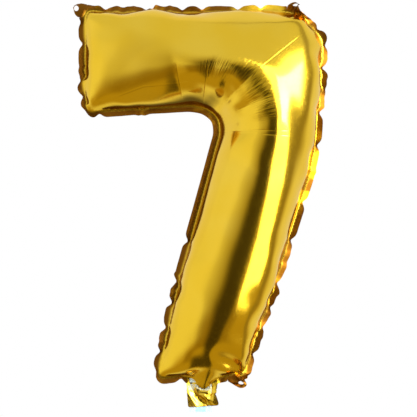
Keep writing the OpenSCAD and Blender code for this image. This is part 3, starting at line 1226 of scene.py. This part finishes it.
@dataclass
class FoilBalloon:
    """The foil envelope: both panels, the hanging tabs and the inflation neck, cut from one film.

    Attributes:
        cut: The flat cut.
        finish: The foil's finish.
        film: Thickness of a ply.
        neck_line: Height in the cut where the panels end and the neck begins.
        ply_gap: How far each ply of the neck stands off its middle, fully so push_lead below push_line.
        fold_start: How far past the middle of its root a tab is a piece of its own.
        seam_weld: Share of the weld's look on the seam, and neck_weld on the neck.
        film_reach: Distance over which the middle of the neck's film is averaged.
    """

    cut: Cut
    finish: GoldFoil
    film: float = 0.12 * MM
    neck_line: float = -357.0 * MM
    ply_gap: float = 0.9 * MM
    push_line: float = -358.6 * MM
    push_lead: float = 2.5 * MM
    fold_start: float = 0.6 * MM
    seam_weld: float = 0.55
    neck_weld: float = 0.2
    film_reach: float = 0.9 * MM
    smooth_below: float = 70.0

    def build(self) -> list[bpy.types.Object]:
        """Inflate the foil and split it into its pieces.

        Returns:
            The finished pieces.
        """
        foil = FlatFoil(self.cut)
        self.foil = foil
        self.points = Scallops().lay(foil, Ironing().press(foil, Gas(foil).blow_up()))
        self.material = self.finish.material()
        self.weld = (foil.marks != Mark.DOME).astype(float)
        self.weld[foil.marks == Mark.SEAM] = self.seam_weld
        self.weld[inside(self.cut.neck, foil.flat)] = self.neck_weld
        weld_middle = foil.flat[foil.weld_faces].mean(1)
        dome_middle = foil.flat[foil.front_faces].mean(1)
        neck = inside(self.cut.neck, weld_middle) & (weld_middle[:, 1] < self.neck_line)
        low_dome = dome_middle[:, 1] < self.neck_line
        taken = neck.copy()
        pieces = []
        for tab in self.cut.tabs:
            beyond = self._beyond(tab, weld_middle) & ~taken
            taken |= beyond
            pieces.append(self._tab(tab, foil.weld_faces[beyond]))
        body = foil.weld_faces[~taken]
        front = np.vstack([body, foil.front_faces[~low_dome]])
        rear = np.vstack([body[:, ::-1], foil.rear_faces[~low_dome]])
        pieces.append(self._panel("front_panel_foil", front, "front_panel"))
        pieces.append(self._panel("rear_panel_foil", rear, "rear_panel"))
        plies = foil.weld_faces[neck]
        front_ply = np.vstack([plies, foil.front_faces[low_dome]])
        rear_ply = np.vstack([plies[:, ::-1], foil.rear_faces[low_dome]])
        pieces.append(self._neck("neck_front_foil", front_ply, "tail_front"))
        pieces.append(self._neck("neck_rear_foil", rear_ply, "tail_rear"))
        return pieces

    def _beyond(self, tab: TabPlan, middle: np.ndarray) -> np.ndarray:
        """Tell which weld faces lie in a tab, past its fold line."""
        root = (np.array(tab.root) + np.array(tab.cut_shift)) * MM
        past = (middle - root) @ tab.direction > self.fold_start
        return inside(self.cut.tab_loops[tab.name], middle) & past

    def _sheet(self, name: str, faces: np.ndarray, push: float = 0.0) -> bpy.types.Object:
        """Make one ply of film from some of the simulated faces.

        Args:
            name: The piece's name.
            faces: Triangles over the whole film's points.
            push: How far the film stands off to the back, below the neck's first few millimetres.

        Returns:
            The piece, with its thickness and its "weld" attribute.
        """
        used, compact = np.unique(faces, return_inverse=True)
        points = self.points[used].copy()
        points[:, 1] += push * np.clip((self.push_line - self.foil.flat[used, 1]) / self.push_lead, 0, 1)
        piece = film_object(name, points, compact.reshape(faces.shape), self.material)
        weld = piece.data.attributes.new("weld", "FLOAT", "POINT")
        weld.data.foreach_set("value", self.weld[used].astype(np.float32))
        apply_modifier(piece, "SUBSURF", levels=1, render_levels=1)
        finish_film(piece, self.film, 1.0, self.smooth_below)
        return piece

    def _panel(self, name: str, faces: np.ndarray, node: str) -> bpy.types.Object:
        """Make one big panel, which rides on the root."""
        piece = self._sheet(name, faces)
        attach(piece, "root")
        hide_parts(node)
        return piece

    def _neck(self, name: str, faces: np.ndarray, node: str) -> bpy.types.Object:
        """Make one ply of the inflation neck."""
        piece = self._sheet(name, faces, -self.ply_gap if node == "tail_front" else self.ply_gap)
        bend_at_tail_fold(piece)
        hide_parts(node)
        return piece

    def _tab(self, tab: TabPlan, faces: np.ndarray) -> bpy.types.Object:
        """Make one hanging tab, both layers welded."""
        piece = self._sheet(f"{tab.name}_foil", faces)
        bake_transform(piece)
        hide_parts(f"hang_{tab.name}")
        return piece

    def neck_middle(self, x: float, z: float) -> float:
        """Return where the middle of the neck's film lies in y, near a place (x, z)."""
        flat = self.foil.flat
        neck = inside(self.cut.neck, flat) & (self.foil.marks != Mark.DOME)
        film = self.points[neck]
        away = (film[:, 0] - x) ** 2 + (film[:, 2] - z) ** 2
        weight = 1.0 / (away + self.film_reach ** 2) ** 2
        return float((film[:, 1] * weight).sum() / weight.sum())


@dataclass(frozen=True)
class FilmPlan:
    """One strip of the valve.

    Attributes:
        name: The piece's name.
        node: The CAD node it stands for.
        body: The body it rides on.
        wave: Height of its slow waves.
        printed: Whether it is the release print.
    """

    name: str
    node: str
    body: str
    wave: float = 0.0
    printed: bool = False


@dataclass
class Valve:
    """The inflation valve: two clear films with a printed lane between them.

    Attributes:
        clear: Finish of the films, and ink of the printed lane.
        film: Thickness of a film. The print is half as thick.
        pitch: Largest spacing of a strip's points.
        ripple: Turns of the waves in radians a metre: across, along and slantwise.
    """

    clear: ClearFilm
    ink: PrintedLane
    film: float = 0.08 * MM
    pitch: float = 1.2 * MM
    ripple: tuple[float, float, float] = (430.0, 120.0, 260.0)
    smooth_below: float = 50.0
    strips: tuple[FilmPlan, ...] = (
        FilmPlan("valve_film_front_strip", "valve_film_front", "root", 0.2 * MM),
        FilmPlan("valve_film_rear_strip", "valve_film_rear", "root", 0.2 * MM),
        FilmPlan("valve_flap_strip", "valve_flap", "flap", 0.25 * MM),
        FilmPlan("release_print_lane", "release_print", "root", 0.25 * MM, printed=True),
        FilmPlan("neck_film_front_strip", "tail_film_front", "tail"),
        FilmPlan("neck_film_rear_strip", "tail_film_rear", "tail"),
        FilmPlan("neck_print_lane", "tail_print", "tail", printed=True),
    )

    def build(self, balloon: FoilBalloon) -> list[bpy.types.Object]:
        """Build every strip between the neck's plies and return the pieces."""
        clear, ink = self.clear.material(), self.ink.material()
        return [self._strip(plan, ink if plan.printed else clear, balloon) for plan in self.strips]

    def _strip(self, plan: FilmPlan, material: bpy.types.Material, balloon: FoilBalloon) -> bpy.types.Object:
        """Build one strip over its CAD node, with slow waves across and along it.

        Args:
            plan: Which strip.
            material: Its finish.
            balloon: The foil whose neck it lies in.

        Returns:
            The finished piece.
        """
        low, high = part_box(plan.node)
        in_neck = plan.body == "tail"
        width, length = high.x - low.x, high.z - low.z
        columns = max(int(width / self.pitch), 4)
        rows = max(int(length / self.pitch), 3)
        middle = (low.y + high.y) / 2
        across, along, slant = self.ripple
        points = []
        for row in range(rows + 1):
            for column in range(columns + 1):
                x, z = low.x + width * column / columns, low.z + length * row / rows
                wave = plan.wave * math.sin(across * (x - low.x) + along * z) * math.sin(slant * (x + z))
                neck = balloon.neck_middle(x, z) if in_neck else 0.0
                points.append((x, middle + neck + wave, z))
        corner = [row * (columns + 1) + column for row in range(rows) for column in range(columns)]
        faces = [(i, i + 1, i + columns + 2, i + columns + 1) for i in corner]
        piece = film_object(plan.name, points, faces, material)
        finish_film(piece, self.film / 2 if plan.printed else self.film, 0.0, self.smooth_below)
        if in_neck:
            bend_at_tail_fold(piece)
        else:
            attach(piece, plan.body)
        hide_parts(plan.node)
        return piece


# ---------------------------------------------------------------------------------------------
# Studio
# ---------------------------------------------------------------------------------------------


@dataclass(frozen=True)
class Softbox:
    """A soft light panel aimed at the balloon.

    Attributes:
        name: The light's name.
        side: Degrees round from the camera, positive to the right.
        rise: Degrees above level.
        distance: Metres from the balloon.
        width: Metres across.
        height: Metres high.
        brightness: Radiance, where 1 turns a mirror white.
        tint: Its colour.
    """

    name: str
    side: float
    rise: float
    distance: float
    width: float
    height: float
    brightness: float
    tint: Colour = (1.0, 1.0, 1.0)


@dataclass
class Studio:
    """Camera, soft lights, surroundings and floor.

    The surroundings are what the foil mirrors: each is named by where it lies from the balloon.
    """

    floor_finish: PaleFloor
    middle: Colour = (0.1151, 0.0, -0.1737)
    view_width: float = 0.3595
    camera_distance: float = 1.6
    floor_drop: float = 1.3
    floor_size: float = 3.6
    sensor_width: float = 36.0
    front: Colour = (0.38, 0.32, 0.16)
    left: Colour = (0.93, 0.92, 0.88)
    above: Colour = (0.80, 0.80, 0.80)
    below: Colour = (0.50, 0.37, 0.08)
    low_front: Colour = (0.20, 0.12, 0.008)
    behind: Colour = (0.92, 0.90, 0.92)
    behind_middle: Colour = (0.13, 0.11, 0.08)
    stand_in_front: Colour = (0.035, 0.028, 0.018)
    right_gap: Colour = (0.25, 0.20, 0.12)
    backdrop: Colour = (1.0, 1.0, 1.0)
    softboxes: tuple[Softbox, ...] = (
        Softbox("softbox_left", -68.0, -8.0, 1.4, 1.5, 1.7, 0.06),
        Softbox("softbox_right", 48.0, 6.0, 1.3, 0.95, 1.7, 4.2),
        Softbox("softbox_right_core", 57.0, 14.0, 1.28, 0.45, 0.7, 17.0),
    )

    def build(self) -> None:
        """Set up the camera, the lights, the surroundings and the floor."""
        self._camera()
        for softbox in self.softboxes:
            self._softbox(softbox)
        self._surroundings()
        self._floor()

    def _camera(self) -> None:
        """Place a long-lens camera straight in front."""
        data = bpy.data.cameras.new("front_camera")
        data.sensor_width = self.sensor_width
        data.lens = data.sensor_width * self.camera_distance / self.view_width
        data.clip_end = 50.0
        camera = bpy.data.objects.new("front_camera", data)
        camera.location = Vector(self.middle) - Vector((0, self.camera_distance, 0))
        camera.rotation_euler = (math.pi / 2, 0, 0)
        bpy.context.scene.collection.objects.link(camera)
        bpy.context.scene.camera = camera

    def _softbox(self, plan: Softbox) -> None:
        """Place one soft light panel."""
        data = bpy.data.lights.new(plan.name, "AREA")
        data.shape = "RECTANGLE"
        data.size, data.size_y = plan.width, plan.height
        data.energy = plan.brightness * math.pi * plan.width * plan.height
        data.color = plan.tint
        side, rise = math.radians(plan.side), math.radians(plan.rise)
        away = Vector((math.sin(side) * math.cos(rise), -math.cos(side) * math.cos(rise), math.sin(rise)))
        light = bpy.data.objects.new(plan.name, data)
        light.location = Vector(self.middle) + plan.distance * away
        light.rotation_euler = away.to_track_quat("Z", "Y").to_euler()
        bpy.context.scene.collection.objects.link(light)

    def _surroundings(self) -> None:
        """Give the foil a studio to reflect: bright behind and above, dim in front and below."""
        world = bpy.data.worlds.new("studio")
        bpy.context.scene.world = world
        graph = Graph(world)
        spot = graph.node("ShaderNodeTexCoord").outputs["Generated"]
        parts = graph.node("ShaderNodeSeparateXYZ", inputs={"Vector": spot})
        x, y, z = (Value(graph, parts.outputs[axis]) for axis in "XYZ")
        # Each area fades in and out over the range that its smooth() calls give: side is the angle
        # round from the camera in radians, positive to the right, and y and z go from -1 to 1.
        side = x.angle_to(y * -1.0)
        colour = graph.mix(side.smooth(-0.12, -0.95), self.front, self.left)
        colour = graph.mix(z.smooth(0.05, 0.55), colour, self.above)
        colour = graph.mix(z.smooth(-0.12, -0.55), colour, self.below)
        band = z.smooth(-0.10, -0.38) * z.smooth(-0.80, -0.58)
        band = band * side.smooth(-0.9, -0.5) * side.smooth(0.7, 0.5)
        colour = graph.mix(band * 0.6, colour, self.low_front)
        far = (x * x).smooth(0.30, 0.02) * y.smooth(0.2, 0.6) * z.smooth(0.45, 0.10)
        colour = graph.mix(y.smooth(-0.10, 0.30), colour, graph.mix(far, self.behind, self.behind_middle))
        stand = side.smooth(-0.38, -0.06) * side.smooth(0.42, 0.30) * z.smooth(0.20, -0.02)
        colour = graph.mix(stand * 0.93, colour, self.stand_in_front)
        gap = side.smooth(1.28, 1.36) * side.smooth(1.62, 1.50)
        colour = graph.mix(gap * 0.7, colour, self.right_gap)
        seen = graph.node("ShaderNodeLightPath").outputs["Is Camera Ray"]
        colour = graph.mix(Value(graph, seen), colour, self.backdrop)
        background = graph.node("ShaderNodeBackground", inputs={"Color": colour, "Strength": 1.0})
        output = graph.node("ShaderNodeOutputWorld")
        graph.tree.links.new(background.outputs[0], output.inputs[0])
        bpy.context.scene.view_settings.view_transform = "Standard"

    def _floor(self) -> None:
        """Lay a wide pale floor well below the hanging balloon."""
        bpy.ops.object.select_all(action="DESELECT")
        bpy.ops.mesh.primitive_grid_add(x_subdivisions=8, y_subdivisions=8, size=self.floor_size)
        floor = bpy.context.object
        floor.name = "floor"
        floor.data.transform(floor.matrix_world)
        floor.location = (0, 0, 0)
        for vertex in floor.data.vertices:
            vertex.co.z = self.middle[2] - self.floor_drop
        floor.data.materials.append(self.floor_finish.material())
        floor.visible_glossy = False


def main() -> None:
    """Build the balloon, its valve and the studio, and report each piece."""
    logging.basicConfig(level=logging.INFO, format="%(name)s: %(message)s")
    Studio(PaleFloor()).build()
    balloon = FoilBalloon(Cut(), GoldFoil())
    pieces = balloon.build()
    pieces += Valve(ClearFilm(), PrintedLane()).build(balloon)
    for piece in pieces:
        size = [round(side / MM, 1) for side in piece.dimensions]
        log.info("%s: %d faces, %s mm", piece.name, len(piece.data.polygons), size)


if __name__ == "__main__":
    main()
